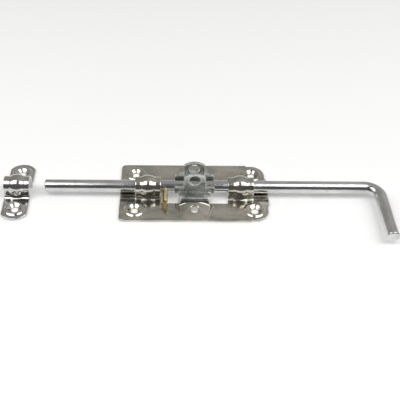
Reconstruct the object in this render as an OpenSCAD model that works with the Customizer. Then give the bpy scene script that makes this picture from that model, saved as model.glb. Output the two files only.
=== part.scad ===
// Padlockable round bolt latch: stamped plate with two guide straps, cranked bolt, gate of two
// padlock ears and a separate keep. Origin: centre of the plate's mounting face. +X runs along the
// bolt towards the handle, -Y is where the handle lies, +Z stands out of the mounting face.

/* [Bolt] */
// Diameter of the round bolt
bolt_d = 10; // [8:0.5:10]
// Distance from the plate's centre to the bolt's tip
bolt_reach = 116.4; // [90:1:120]
// Distance from the plate's centre to the middle of the handle
handle_x = 144; // [100:1:200]
// Length of the handle from the bolt's centre line
handle_len = 54; // [35:1:90]
// Bend radius at the bolt's centre line
bend_r = 12; // [10:1:20]
// Chamfer at both ends of the bar
bar_chamfer = 1.2; // [0.5:0.1:2]

/* [Stop pin] */
// Outer diameter of the roll pin
pin_d = 5; // [4:0.5:6]
// Distance from the bolt's centre line to the pin's free end
pin_reach = 17.7; // [12:0.1:20]
// Gap between the pin and the left strap
pin_gap = 0.4; // [0.3:0.1:2]

/* [Plate] */
// Length of the plate
plate_l = 116; // [116:1:140]
// Width of the plate
plate_w = 64; // [60:1:80]
// Thickness of every stamped sheet piece
sheet = 2; // [1.5:0.1:2.2]
// Distance from the mounting face to the bolt's centre line
axis_z = 7.5; // [7.5:0.1:9]
// Distance between the two window ends
window_l = 52; // [48:1:60]
// Width of the windows
window_w = 26.4; // [24:0.2:30]

/* [Straps] */
// Width of each strap along the bolt
strap_w = 20; // [18:0.5:22]
// Inner radius of a strap beside its rib
strap_r = 5.5; // [5.3:0.1:6]
// Height of the strap's rounded rib
rib_h = 1.5; // [1:0.1:2]
// Half of the rib's width
rib_half = 5.5; // [4:0.1:6]

/* [Screw holes] */
// Diameter of the screw holes
screw_d = 5; // [4:0.5:6]
// Diameter of the countersink at the top of its boss
sink_d = 11; // [9:0.5:11]
// Depth of the countersink
sink_depth = 2.2; // [1:0.1:2.5]
// Diameter of the raised boss around each screw hole, at its foot
boss_d = 16.5; // [15:0.5:17]
// Height of the bosses above the sheet
boss_h = 1.1; // [0.6:0.1:1.4]
// Hole spacing across the bolt
screw_dy = 41; // [40:1:43]
// Hole spacing along the bolt
screw_dx = 92.5; // [90:0.5:94]

/* [Padlock gate] */
// Width of each ear
ear_w = 16.5; // [14:0.5:20]
// Height of the ears' tips above the bolt's centre line
ear_top = 19.1; // [18:0.1:22]
// Diameter of the padlock holes
shackle_d = 8.5; // [6:0.5:9]
// Height of the padlock holes above the bolt's centre line
shackle_z = 12.8; // [12:0.1:14]
// Distance from the bolt's centre line to the ears' inner faces
ear_gap = 5.9; // [5.6:0.1:7]

/* [Keep] */
// Distance from the plate's centre to the keep's centre
keep_x = 138; // [138:0.5:160]
// Length of the keep across the bolt
keep_l = 63.5; // [60:0.5:70]

/* [Hidden] */
$fn = 96;
eps = 0.01;
bolt_r = bolt_d / 2;
pin_r = pin_d / 2;
pin_wall = 0.9;
pin_slit = 1.1;
pin_slit_turn = 25;
pin_inset = 0.5;
strap_x = (window_l + strap_w) / 2;
strap_out = strap_r + sheet;
rib_r = (rib_half * rib_half + rib_h * rib_h) / (2 * rib_h);
rib_c = strap_out + rib_h - rib_r;
fillet_r = 2.6;
boss_slope = 1.4;
pin_x = pin_gap + pin_r - window_l / 2;
// plate outline
left_corner_r = 3;
lobe_r = 10.6;
lobe_step = 3.3;
tongue_half = 16.5;
tongue_corner_r = 2.5;
// raised pads that carry the ears
pad_z = axis_z - 0.3;
pad_in = ear_gap + sheet;
pad_out = pad_in + 7.4;
pad_half = 10.5;
pad_foot_out = pad_out + 4.6;
pad_foot_half = 13;
pad_wall = 1.4;
bead_h = 4.2;
bead_half = 13.5;
bead_end_half = 10;
bead_edge_gap = 1.5;
tab_hole_d = 6;
tab_hole_y = 22;
// ears
ear_base_half = 15.5;
ear_base_h = 6.3;
ear_base_r = 1.5;
ear_tip_r = 13;
foot_half = 12;
foot_corner_r = 3;
// keep
keep_end_r = 11.5;

// Raised ring of sheet around a screw hole
module screw_boss() {
  translate([0, 0, sheet - eps])
    cylinder(d1 = boss_d, d2 = boss_d - 2 * boss_slope, h = boss_h + eps);
}

// Countersunk screw hole through the sheet and its boss, its axis along Z
module screw_hole() {
  top = sheet + boss_h;
  translate([0, 0, -eps]) cylinder(d = screw_d, h = top);
  translate([0, 0, top - sink_depth]) cylinder(d1 = screw_d, d2 = sink_d, h = sink_depth);
  translate([0, 0, top - eps]) cylinder(d = sink_d, h = 1);
}

// Wall of a strap: x is the distance from the bolt's centre line, y runs along the bolt
module strap_profile() {
  difference() {
    union() {
      translate([0, -strap_w / 2]) square([strap_out, strap_w]);
      translate([rib_c, 0]) circle(rib_r);
    }
    translate([-2 * rib_r, -strap_w]) square([2 * rib_r + strap_r, 2 * strap_w]);
    translate([rib_c, 0]) circle(rib_r - sheet);
  }
}

// Omega strap around the bolt, standing on the mounting face
module strap(x) {
  translate([x, 0, axis_z]) rotate([0, 90, 0]) rotate([0, 0, 90])
    rotate_extrude(angle = 180) strap_profile();
  for (side = [-1, 1])
    translate([x, 0, 0]) linear_extrude(axis_z) rotate([0, 0, side * 90]) strap_profile();
  for (side = [-1, 1])
    translate([x - strap_w / 2, side * (strap_out - eps), sheet - eps])
      rotate([90, 0, 90]) mirror([side < 0 ? 1 : 0, 0, 0])
        linear_extrude(strap_w) difference() {
          square(fillet_r);
          translate([fillet_r, fillet_r]) circle(fillet_r);
        }
}

// The bolt's way through a strap, cut out of the sheet below it
module strap_way(x) {
  translate([x - strap_w / 2, -strap_r, -eps]) cube([strap_w, 2 * strap_r, axis_z]);
  for (side = [0, 1])
    translate([x, 0, -eps]) linear_extrude(axis_z) mirror([0, side, 0]) intersection() {
      translate([0, rib_c]) circle(rib_r - sheet);
      translate([-strap_w / 2, 0]) square([strap_w, rib_r]);
    }
}

// Rectangle whose right corners are lobes around the screw holes, with a tongue between them
module plate_outline() {
  screw_x = screw_dx / 2;
  straight_end = screw_x - lobe_step;
  translate([left_corner_r - plate_l / 2, -plate_w / 2])
    square([plate_l / 2 - left_corner_r + straight_end, plate_w]);
  translate([-plate_l / 2, left_corner_r - plate_w / 2])
    square([plate_l / 2, plate_w - 2 * left_corner_r]);
  for (side = [-1, 1]) {
    translate([left_corner_r - plate_l / 2, side * (plate_w / 2 - left_corner_r)])
      circle(left_corner_r);
    translate([screw_x, side * screw_dy / 2]) circle(lobe_r);
  }
  translate([0, -screw_dy / 2]) square([screw_x + lobe_r, screw_dy]);
  translate([0, tongue_corner_r - tongue_half])
    square([plate_l / 2, 2 * (tongue_half - tongue_corner_r)]);
  for (side = [-1, 1])
    translate([plate_l / 2 - tongue_corner_r, side * (tongue_half - tongue_corner_r)])
      circle(tongue_corner_r);
}

// Block between a flat top and a larger foot, for the raised pads: side is +1 or -1
module pad_block(side, inner, top_z, top_out, top_half, foot_z, foot_out, half) {
  hull() {
    translate([-top_half, side > 0 ? inner : -top_out, top_z - eps])
      cube([2 * top_half, top_out - inner, eps]);
    translate([-half, side > 0 ? inner : -foot_out, foot_z])
      cube([2 * half, foot_out - inner, eps]);
  }
}

// Rounded bead that slopes from a pad down to the plate's long edge
module bead(side) {
  bead_end = plate_w / 2 - bead_edge_gap;
  hull() {
    translate([0, side * pad_out, sheet - eps]) rotate([90, 0, 0]) linear_extrude(eps)
      polygon([for (turn = [0:15:180]) [bead_half * cos(turn), bead_h * sin(turn)]]);
    translate([-bead_end_half, side * bead_end, sheet - eps])
      cube([2 * bead_end_half, eps, eps]);
  }
}

module base_plate() {
  color("silver") difference() {
    union() {
      difference() {
        linear_extrude(sheet) plate_outline();
        translate([-window_l / 2, -window_w / 2, -eps])
          cube([window_l, window_w, sheet + 2 * eps]);
        for (x = [-strap_x, strap_x]) strap_way(x);
      }
      for (side = [-1, 1]) {
        pad_block(side, pad_in, pad_z, pad_out, pad_half, 0, pad_foot_out, pad_foot_half);
        bead(side);
      }
      for (x = [-strap_x, strap_x]) strap(x);
      for (x = [-1, 1], y = [-1, 1])
        translate([x * screw_dx / 2, y * screw_dy / 2, 0]) screw_boss();
    }
    for (side = [-1, 1]) {
      pad_block(side, pad_in - 1, pad_z - sheet, pad_out - pad_wall, pad_half - sheet,
        -1, pad_foot_out - 2 * sheet, pad_foot_half - sheet);
      translate([0, side * tab_hole_y, -1]) cylinder(d = tab_hole_d, h = 2 * axis_z);
      for (x = [-1, 1]) translate([x * screw_dx / 2, side * screw_dy / 2, 0]) screw_hole();
    }
  }
}

// L-shaped padlock ear whose foot points away from the bolt: side is +1 or -1
module ear(side) {
  tip_c = axis_z + ear_top - ear_tip_r;
  mirror([0, side < 0 ? 1 : 0, 0]) {
    difference() {
      translate([0, ear_gap + sheet, 0]) rotate([90, 0, 0]) linear_extrude(sheet) union() {
        intersection() {
          translate([-ear_w / 2, pad_z]) square([ear_w, ear_top + axis_z - pad_z]);
          union() {
            translate([0, tip_c]) circle(ear_tip_r);
            translate([-ear_w, pad_z]) square([2 * ear_w, tip_c - pad_z]);
          }
        }
        translate([ear_base_r - ear_base_half, pad_z])
          square([2 * (ear_base_half - ear_base_r), ear_base_h]);
        translate([-ear_base_half, pad_z]) square([2 * ear_base_half, ear_base_h - ear_base_r]);
        for (x = [-1, 1])
          translate([x * (ear_base_half - ear_base_r), pad_z + ear_base_h - ear_base_r])
            circle(ear_base_r);
      }
      translate([0, ear_gap - 1, axis_z + shackle_z]) rotate([-90, 0, 0])
        cylinder(d = shackle_d, h = sheet + 2);
    }
    translate([0, 0, pad_z]) linear_extrude(sheet) {
      translate([-foot_half, pad_in - eps])
        square([2 * foot_half, pad_out - pad_in - foot_corner_r]);
      translate([foot_corner_r - foot_half, pad_in])
        square([2 * (foot_half - foot_corner_r), pad_out - pad_in]);
      for (x = [-1, 1])
        translate([x * (foot_half - foot_corner_r), pad_out - foot_corner_r])
          circle(foot_corner_r);
    }
  }
}

module front_ear() {
  color("lightgray") ear(-1);
}

module back_ear() {
  color("lightgray") ear(1);
}

module bolt_rod() {
  color("gainsboro") difference() {
    union() {
      translate([bar_chamfer - bolt_reach, 0, axis_z]) rotate([0, 90, 0])
        cylinder(d = bolt_d, h = bolt_reach - bar_chamfer + handle_x - bend_r);
      translate([-bolt_reach, 0, axis_z]) rotate([0, 90, 0])
        cylinder(r1 = bolt_r - bar_chamfer, r2 = bolt_r, h = bar_chamfer);
      translate([handle_x - bend_r, -bend_r, axis_z])
        rotate_extrude(angle = 90) translate([bend_r, 0]) circle(bolt_r);
      translate([handle_x, -bend_r, axis_z]) rotate([90, 0, 0])
        cylinder(d = bolt_d, h = handle_len - bend_r - bar_chamfer);
      translate([handle_x, bar_chamfer - handle_len, axis_z]) rotate([90, 0, 0])
        cylinder(r1 = bolt_r, r2 = bolt_r - bar_chamfer, h = bar_chamfer);
    }
    translate([pin_x, bolt_r + 1, axis_z]) rotate([90, 0, 0])
      cylinder(d = pin_d, h = bolt_d + 2);
  }
}

// Slotted spring-steel roll pin, pressed through the bolt
module stop_pin() {
  color("darkgray") translate([pin_x, bolt_r - pin_inset, axis_z]) rotate([90, 0, 0]) difference() {
    cylinder(d = pin_d, h = bolt_r - pin_inset + pin_reach);
    translate([0, 0, -1]) cylinder(r = pin_r - pin_wall, h = bolt_d + 2 * pin_reach);
    rotate([0, 0, pin_slit_turn]) translate([-pin_slit / 2, 0, -1])
      cube([pin_slit, pin_d, bolt_d + 2 * pin_reach]);
  }
}

module keep() {
  end_c = keep_l / 2 - keep_end_r;
  color("silver") difference() {
    union() {
      difference() {
        translate([-keep_x, 0, 0]) linear_extrude(sheet) intersection() {
          square([strap_w, keep_l], center = true);
          union() {
            for (side = [-1, 1]) translate([0, side * end_c]) circle(keep_end_r);
            square([strap_w, 2 * end_c], center = true);
          }
        }
        strap_way(-keep_x);
      }
      strap(-keep_x);
      for (side = [-1, 1]) translate([-keep_x, side * screw_dy / 2, 0]) screw_boss();
    }
    for (side = [-1, 1]) translate([-keep_x, side * screw_dy / 2, 0]) screw_hole();
  }
}

base_plate();
front_ear();
back_ear();
bolt_rod();
stop_pin();
keep();
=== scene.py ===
"""Looks of the toggle bolt latch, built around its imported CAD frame."""
import math

import bmesh
import bpy
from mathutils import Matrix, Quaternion, Vector


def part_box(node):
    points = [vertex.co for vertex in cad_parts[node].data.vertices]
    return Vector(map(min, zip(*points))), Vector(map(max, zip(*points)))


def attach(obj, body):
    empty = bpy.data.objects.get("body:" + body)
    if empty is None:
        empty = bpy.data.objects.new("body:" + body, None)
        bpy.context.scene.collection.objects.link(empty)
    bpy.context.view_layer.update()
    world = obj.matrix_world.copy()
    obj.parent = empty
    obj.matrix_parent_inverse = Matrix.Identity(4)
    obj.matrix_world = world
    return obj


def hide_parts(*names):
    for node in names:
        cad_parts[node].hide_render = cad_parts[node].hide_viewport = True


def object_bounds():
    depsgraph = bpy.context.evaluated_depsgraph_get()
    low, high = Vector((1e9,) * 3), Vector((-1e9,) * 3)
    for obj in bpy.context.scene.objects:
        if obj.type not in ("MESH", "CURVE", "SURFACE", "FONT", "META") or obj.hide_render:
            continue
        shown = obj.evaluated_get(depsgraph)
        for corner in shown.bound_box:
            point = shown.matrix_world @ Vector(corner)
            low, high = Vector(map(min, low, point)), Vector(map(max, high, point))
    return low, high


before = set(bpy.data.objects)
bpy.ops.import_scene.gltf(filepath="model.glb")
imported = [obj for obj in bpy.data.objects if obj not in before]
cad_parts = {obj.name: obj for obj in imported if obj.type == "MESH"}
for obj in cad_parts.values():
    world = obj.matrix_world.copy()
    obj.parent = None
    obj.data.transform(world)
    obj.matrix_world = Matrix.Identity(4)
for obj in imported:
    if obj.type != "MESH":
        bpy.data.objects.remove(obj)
CAD_LO, CAD_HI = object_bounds()
MM = 0.001
BOLT_LO, BOLT_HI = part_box("bolt_rod")
BOLT_R = (BOLT_HI.z - BOLT_LO.z) / 2
BOLT_Z = (BOLT_HI.z + BOLT_LO.z) / 2
BEND_R = 12 * MM
BAR_LIP = 1.2 * MM
CAMERA_DOWN_DEG = 42
CAMERA_ROLL_DEG = 0.4
CAMERA_DISTANCE = 0.582
FLOOR_GAP = 0.02 * MM
FLOOR_HALF = 4
SCENE = bpy.context.scene


# ---------------------------------------------------------------- camera
def make_camera():
    """The camera looks along +Y, and down, at a point on the bolt's centre line."""
    elevation = math.radians(CAMERA_DOWN_DEG)
    target = Vector((-0.0205, 0, BOLT_Z))
    look = Vector((0, math.cos(elevation), -math.sin(elevation)))
    data = bpy.data.cameras.new("camera")
    data.lens = 67
    data.shift_x = 0.08
    data.shift_y = -0.034
    data.clip_start = 0.01
    data.clip_end = 20
    camera = bpy.data.objects.new("camera", data)
    SCENE.collection.objects.link(camera)
    camera.location = target - look * CAMERA_DISTANCE
    camera.rotation_mode = "QUATERNION"
    level = look.to_track_quat("-Z", "Y")
    camera.rotation_quaternion = level @ Quaternion((0, 0, 1), math.radians(CAMERA_ROLL_DEG))
    SCENE.camera = camera


make_camera()


# ---------------------------------------------------------------- node helpers
class Nodes:
    """Short calls for building a node tree."""

    def __init__(self, tree):
        self.tree = tree
        tree.nodes.clear()

    def add(self, kind, inputs=None, **props):
        node = self.tree.nodes.new(kind)
        for key, value in props.items():
            setattr(node, key, value)
        for key, value in (inputs or {}).items():
            if isinstance(value, bpy.types.NodeSocket):
                self.tree.links.new(value, node.inputs[key])
            else:
                node.inputs[key].default_value = value
        return node

    def math(self, operation, a, b=0.0, c=0.0):
        return self.add("ShaderNodeMath", {0: a, 1: b, 2: c}, operation=operation).outputs[0]

    def noise(self, vector, scale, detail=4.0, roughness=0.5, distortion=0.0):
        node = self.add("ShaderNodeTexNoise", {"Vector": vector, "Scale": scale, "Detail": detail,
                                               "Roughness": roughness, "Distortion": distortion})
        return node.outputs["Fac"]

    def stretch(self, vector, scale):
        return self.add("ShaderNodeMapping", {"Vector": vector, "Scale": scale}).outputs[0]

    def remap(self, value, low, high, to_low, to_high):
        return self.add("ShaderNodeMapRange", {"Value": value, "From Min": low, "From Max": high,
                                               "To Min": to_low, "To Max": to_high}).outputs[0]

    def mix(self, factor, a, b):
        node = self.add("ShaderNodeMix", data_type="RGBA")
        for index, value in ((0, factor), (6, a), (7, b)):
            if isinstance(value, bpy.types.NodeSocket):
                self.tree.links.new(value, node.inputs[index])
            else:
                node.inputs[index].default_value = value
        return node.outputs[2]


def rgb(r, g, b):
    return (r, g, b, 1.0)


# ---------------------------------------------------------------- materials
def zinc(name, light, dark, rough, bar=False):
    """Bright zinc plating: cloudy tint, uneven gloss, a finely pitted skin and handling scratches.
    A drawn bar has its place along and around the bar instead, and fine draw lines along it."""
    material = bpy.data.materials.new(name)
    material.use_nodes = True
    n = Nodes(material.node_tree)
    if bar:
        place = n.add("ShaderNodeAttribute", attribute_name="unbent").outputs["Vector"]
    else:
        place = n.add("ShaderNodeTexCoord").outputs["Object"]
    clouds = n.noise(n.stretch(place, (0.5, 1, 1)), 110, 3, 0.55)
    blotches = n.noise(place, 450, 4, 0.62)
    specks = n.noise(place, 2600, 2, 0.5)
    lines = n.noise(n.stretch(place, (0.03, 1, 1) if bar else (0.12, 1, 1)), 2400, 3, 0.6)
    tint = n.mix(n.remap(clouds, 0.38, 0.62, 0, 1), dark, light)
    tint = n.mix(n.remap(blotches, 0.55, 0.72, 0, 0.55), tint, rgb(0.40, 0.40, 0.37))
    worn = n.add("ShaderNodeNewGeometry").outputs["Pointiness"]
    tint = n.mix(n.remap(worn, 0.54, 0.64, 0, 0.6), tint, rgb(0.84, 0.84, 0.83))
    gloss = n.math("ADD", n.remap(clouds, 0.3, 0.7, rough - 0.04, rough + 0.05),
                   n.remap(specks, 0.45, 0.75, 0, 0.10))
    gloss = n.math("ADD", gloss, n.remap(blotches, 0.55, 0.75, 0, 0.12))
    relief = n.math("MULTIPLY", clouds, 0.10 if bar else 0.55)
    relief = n.math("ADD", relief, n.math("MULTIPLY", blotches, 0.03 if bar else 0.08))
    relief = n.math("ADD", relief, n.math("MULTIPLY", lines, 0.20 if bar else 0.02))
    relief = n.math("ADD", relief, n.math("MULTIPLY", specks, 0.01))
    bump = n.add("ShaderNodeBump", {"Strength": 1.0, "Distance": 0.00022, "Height": relief})
    shader = n.add("ShaderNodeBsdfPrincipled", {"Base Color": tint, "Metallic": 1.0,
                                                "Roughness": gloss, "Normal": bump.outputs[0]})
    n.add("ShaderNodeOutputMaterial", {"Surface": shader.outputs[0]})
    return material


PLATE = zinc("zinc_plate", rgb(0.70, 0.66, 0.59), rgb(0.46, 0.46, 0.41), 0.13)
EAR = zinc("zinc_ear", rgb(0.82, 0.84, 0.80), rgb(0.60, 0.63, 0.59), 0.25)
BAR = zinc("zinc_bar", rgb(0.72, 0.72, 0.715), rgb(0.60, 0.60, 0.60), 0.15, bar=True)
KEEP = zinc("zinc_keep", rgb(0.68, 0.67, 0.65), rgb(0.56, 0.55, 0.53), 0.12)
PIN = zinc("spring_steel", rgb(0.92, 0.80, 0.50), rgb(0.66, 0.55, 0.32), 0.34)


# ---------------------------------------------------------------- pieces
def finish_piece(obj, material, node, body):
    obj.data.materials.clear()
    obj.data.materials.append(material)
    for polygon in obj.data.polygons:
        polygon.use_smooth = True
    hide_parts(node)
    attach(obj, body)


def pressed(node, name, voxel, passes):
    """A copy of a CAD node with the rounded edges and soft corners of a stamping."""
    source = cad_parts[node]
    work = bmesh.new()
    work.from_mesh(source.data)
    bmesh.ops.remove_doubles(work, verts=work.verts, dist=1e-6)
    mesh = bpy.data.meshes.new(name + "_work")
    work.to_mesh(mesh)
    work.free()
    obj = bpy.data.objects.new(name, mesh)
    SCENE.collection.objects.link(obj)
    remesh = obj.modifiers.new("remesh", "REMESH")
    remesh.mode = "VOXEL"
    remesh.voxel_size = voxel
    smooth = obj.modifiers.new("smooth", "SMOOTH")
    smooth.factor = 0.5
    smooth.iterations = passes
    bpy.context.view_layer.update()
    evaluated = obj.evaluated_get(bpy.context.evaluated_depsgraph_get())
    final = bpy.data.meshes.new_from_object(evaluated)
    obj.modifiers.clear()
    obj.data = final
    final.name = name
    return obj


def rounded_end():
    """Distance from the bar's end and share of its radius, for the rings that round its lip."""
    flat = [(0.15 * MM, 0.0), (0.05 * MM, 0.4), (0, 0.72)]
    turns = [math.pi / 16 * k for k in range(9)]
    return flat + [(BAR_LIP * (1 - math.cos(t)), 1 - BAR_LIP / BOLT_R * (1 - math.sin(t)))
                   for t in turns]


def drawn_bar():
    """The bent bar as one smooth sweep with rounded ends. "unbent" keeps each point's place on the
    straight bar, so that draw lines follow the bend."""
    around = 96
    corner = BOLT_HI.x - BOLT_R - BEND_R
    path = [(Vector((BOLT_LO.x + (corner - BOLT_LO.x) * i / 60, 0, BOLT_Z)), Vector((1, 0, 0)))
            for i in range(60)]
    for i in range(25):
        a = math.pi / 2 * i / 24
        point = Vector((corner + BEND_R * math.sin(a), BEND_R * math.cos(a) - BEND_R, BOLT_Z))
        path.append((point, Vector((math.cos(a), -math.sin(a), 0))))
    for i in range(1, 17):
        y = -BEND_R + (BOLT_LO.y + BEND_R) * i / 16
        path.append((Vector((BOLT_HI.x - BOLT_R, y, BOLT_Z)), Vector((0, -1, 0))))
    (start, start_way), (end, end_way) = path[0], path[-1]
    rings = [(start + start_way * along, start_way, size) for along, size in rounded_end()]
    rings += [(point, way, 1.0) for point, way in path[1:-1]]
    rings += [(end - end_way * along, end_way, size) for along, size in reversed(rounded_end())]
    verts, unbent, faces = [], [], []
    travelled, last = 0.0, rings[0][0]
    for point, way, size in rings:
        travelled += (point - last).length
        last = point
        side = way.cross(Vector((0, 0, 1)))
        for k in range(around):
            a = 2 * math.pi * k / around
            offset = (side * math.cos(a) + Vector((0, 0, 1)) * math.sin(a)) * BOLT_R * size
            verts.append(point + offset)
            unbent.append((travelled, BOLT_R * size * math.cos(a), BOLT_R * size * math.sin(a)))
    for i in range(len(rings) - 1):
        for k in range(around):
            a, b = i * around + k, i * around + (k + 1) % around
            faces.append((a, b, b + around, a + around))
    mesh = bpy.data.meshes.new("bolt_rod_drawn")
    mesh.from_pydata(verts, [], faces)
    mesh.attributes.new("unbent", "FLOAT_VECTOR", "POINT").data.foreach_set(
        "vector", [x for v in unbent for x in v])
    work = bmesh.new()
    work.from_mesh(mesh)
    bmesh.ops.remove_doubles(work, verts=work.verts, dist=1e-7)
    bmesh.ops.recalc_face_normals(work, faces=work.faces)
    work.to_mesh(mesh)
    work.free()
    obj = bpy.data.objects.new("bolt_rod_drawn", mesh)
    SCENE.collection.objects.link(obj)
    return obj


finish_piece(pressed("base_plate", "base_plate_pressed", 0.40 * MM, 6),
             PLATE, "base_plate", "plate")
finish_piece(pressed("front_ear", "front_ear_pressed", 0.30 * MM, 6),
             EAR, "front_ear", "plate")
finish_piece(pressed("back_ear", "back_ear_pressed", 0.30 * MM, 6),
             EAR, "back_ear", "plate")
finish_piece(pressed("keep", "keep_pressed", 0.35 * MM, 6), KEEP, "keep", "plate")
finish_piece(drawn_bar(), BAR, "bolt_rod", "bolt")
finish_piece(pressed("stop_pin", "stop_pin_rolled", 0.20 * MM, 3),
             PIN, "stop_pin", "bolt")


# ---------------------------------------------------------------- floor and light
def make_floor():
    """A plain white sheet under the latch, glowing a little so that it stays white to its edges."""
    mesh = bpy.data.meshes.new("floor")
    corners = [(x * FLOOR_HALF, y * FLOOR_HALF, 0) for x, y in ((-1, -1), (1, -1), (1, 1), (-1, 1))]
    mesh.from_pydata(corners, [], [(0, 1, 2, 3)])
    floor = bpy.data.objects.new("floor", mesh)
    SCENE.collection.objects.link(floor)
    floor.location.z = CAD_LO.z - FLOOR_GAP
    material = bpy.data.materials.new("floor")
    material.use_nodes = True
    n = Nodes(material.node_tree)
    place = n.add("ShaderNodeTexCoord").outputs["Object"]
    tone = n.mix(n.noise(place, 3, 2), rgb(0.93, 0.93, 0.93), rgb(0.95, 0.95, 0.945))
    shader = n.add("ShaderNodeBsdfPrincipled", {"Base Color": tone, "Roughness": 0.8,
                                                "Emission Color": rgb(1, 1, 1),
                                                "Emission Strength": 0.18})
    n.add("ShaderNodeOutputMaterial", {"Surface": shader.outputs[0]})
    mesh.materials.append(material)


def make_world():
    """A grey studio: lighter behind the latch, dark on the side that the camera stands on."""
    world = bpy.data.worlds.new("studio")
    SCENE.world = world
    world.use_nodes = True
    n = Nodes(world.node_tree)
    direction = n.add("ShaderNodeTexCoord").outputs["Generated"]
    parts = n.add("ShaderNodeSeparateXYZ", {0: direction})
    back = n.remap(parts.outputs["Y"], -0.20, 0.25, 0, 1)
    right = n.remap(parts.outputs["X"], -0.25, 0.25, 0, 1)
    tone = n.mix(right, rgb(0.34, 0.335, 0.32), rgb(0.46, 0.45, 0.44))
    tone = n.mix(back, rgb(0.10, 0.10, 0.105), tone)
    shader = n.add("ShaderNodeBackground", {"Color": tone, "Strength": 1.0})
    n.add("ShaderNodeOutputWorld", {"Surface": shader.outputs[0]})


def softbox(name, low, high, height, radiance):
    """A level panel of light over the latch, between two corners of its plan."""
    data = bpy.data.lights.new(name, "AREA")
    data.shape = "RECTANGLE"
    data.size = high[0] - low[0]
    data.size_y = high[1] - low[1]
    data.energy = radiance * math.pi * data.size * data.size_y
    light = bpy.data.objects.new(name, data)
    SCENE.collection.objects.link(light)
    light.location = ((low[0] + high[0]) / 2, (low[1] + high[1]) / 2, height)


make_floor()
make_world()
softbox("left_box", (-1.75, -0.60), (-0.22, 0.08), 1.0, 3.0)
softbox("right_box", (0.17, -0.60), (1.75, 0.08), 1.0, 3.0)
SCENE.view_settings.view_transform = "Standard"
